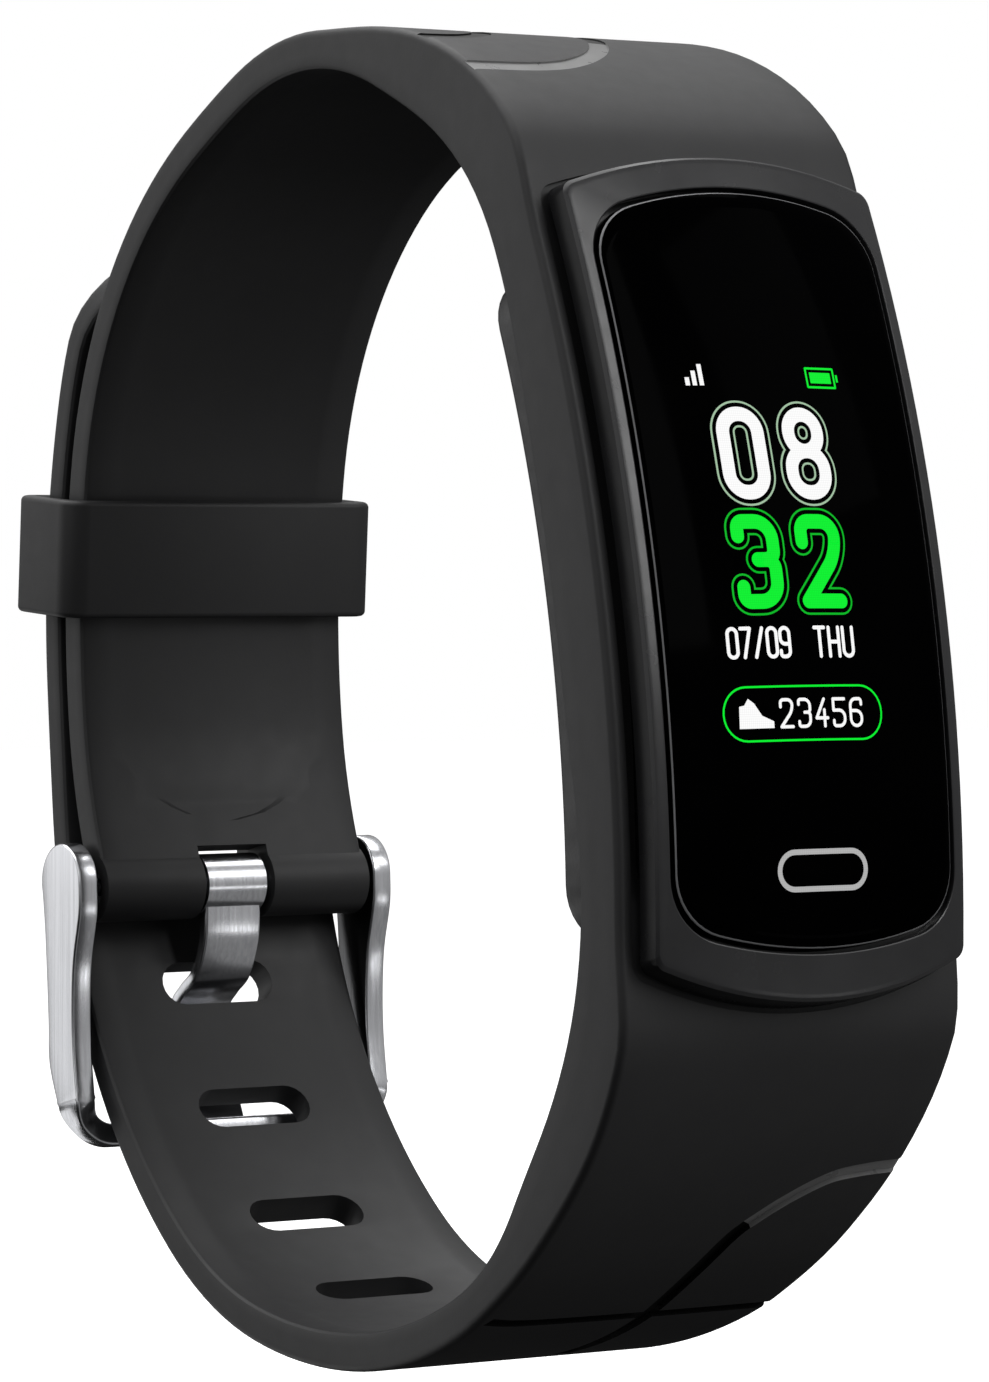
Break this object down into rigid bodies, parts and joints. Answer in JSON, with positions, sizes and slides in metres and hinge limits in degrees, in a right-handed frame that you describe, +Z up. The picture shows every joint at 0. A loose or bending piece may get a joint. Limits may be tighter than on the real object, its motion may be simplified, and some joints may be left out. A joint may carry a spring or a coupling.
{
  "type": "fitness tracker band",
  "caption": "Closed fitness tracker band: a long curved display capsule set in a black silicone strap with a pin buckle, slotted tail and keeper loop.",
  "frame": {"origin": "centre of the wrist opening", "axes": "+X across the wrist along the spring bar, -Y out of the display side, +Z up the closed loop as it stands, leant back 12.2 degrees"},
  "size_m": [0.022, 0.0685, 0.0748],
  "materials": {
    "silicone": "matte",
    "shell": "satin",
    "glass": "gloss",
    "display": "gloss",
    "foam": "matte",
    "inner_plastic": "matte",
    "board": "satin",
    "foil": "satin",
    "chip": "satin",
    "tungsten": "satin",
    "led": "gloss",
    "window": "gloss",
    "gold": "polished",
    "gasket": "matte",
    "cover": "satin",
    "steel": "brushed"
  },
  "bodies": {
    "band": {"strap_body": "silicone", "spring_bar_tube": "steel", "spring_bar_spring": "steel"},
    "tail": {"strap_tail": "silicone"},
    "capsule": {"front_shell": "shell", "lens": "glass", "touch_electrode": "gold", "display_panel": "display", "display_cushion": "foam", "mid_frame": "inner_plastic", "flex_connector": "inner_plastic", "main_board": "board", "processor_shield": "foil", "accelerometer": "chip", "battery": "foil", "battery_tape": "foam", "motor_base": "foil", "motor_can": "foil", "sensor_board": "board", "led_left": "led", "led_right": "led", "photodiode": "chip", "light_baffle": "inner_plastic", "sensor_window": "window", "charge_contact_left": "gold", "charge_contact_right": "gold", "case_gasket": "gasket", "rear_cover": "cover"},
    "motor_rotor": {"motor_rotor": "tungsten"},
    "buckle_frame": {"buckle_frame": "steel"},
    "prong": {"prong": "steel"},
    "keeper": {"keeper": "silicone"},
    "bar_tip_left": {"spring_bar_tip_left": "steel"},
    "bar_tip_right": {"spring_bar_tip_right": "steel"}
  },
  "joints": [
    {"name": "capsule_release", "type": "slide", "parent": "band", "child": "capsule", "axis": [0, -0.9774, 0.2113], "range_m": [0, 0.012]},
    {"name": "tail_flex", "type": "hinge", "parent": "band", "child": "tail", "pos_m": [0, -0.00524, -0.03585], "axis": [-1, 0, 0], "range_deg": [0, 65], "stiffness_Nm_per_rad": 0.02, "springref_deg": -17.19, "deforming": ["strap_tail"]},
    {"name": "buckle_swing", "type": "hinge", "parent": "band", "child": "buckle_frame", "pos_m": [0, 0.02502, -0.01134], "axis": [1, 0, 0], "range_deg": [0, 65]},
    {"name": "prong_swing", "type": "hinge", "parent": "band", "child": "prong", "pos_m": [0, 0.02502, -0.01134], "axis": [1, 0, 0], "range_deg": [0, 92]},
    {"name": "keeper_slide", "type": "hinge", "parent": "band", "child": "keeper", "pos_m": [0, -0.02639, 0.0048], "axis": [1, 0, 0], "range_deg": [-6, 1.2]},
    {"name": "bar_tip_left_press", "type": "slide", "parent": "band", "child": "bar_tip_left", "axis": [1, 0, 0], "range_m": [0, 0.0012], "stiffness_N_per_m": 300, "springref_m": -0.002, "deforming": ["spring_bar_spring"]},
    {"name": "bar_tip_right_press", "type": "slide", "parent": "band", "child": "bar_tip_right", "axis": [-1, 0, 0], "range_m": [0, 0.0012], "stiffness_N_per_m": 300, "springref_m": -0.002, "deforming": ["spring_bar_spring"]},
    {"name": "motor_spin", "type": "hinge", "parent": "capsule", "child": "motor_rotor", "pos_m": [-0.0031, -0.02848, -0.0054], "axis": [0, -0.9774, 0.2113], "continuous": true}
  ],
  "couplings": [
    {"joint": "buckle_swing", "follows": "tail_flex", "ratio": 1},
    {"joint": "prong_swing", "follows": "tail_flex", "ratio": 1.4}
  ]
}
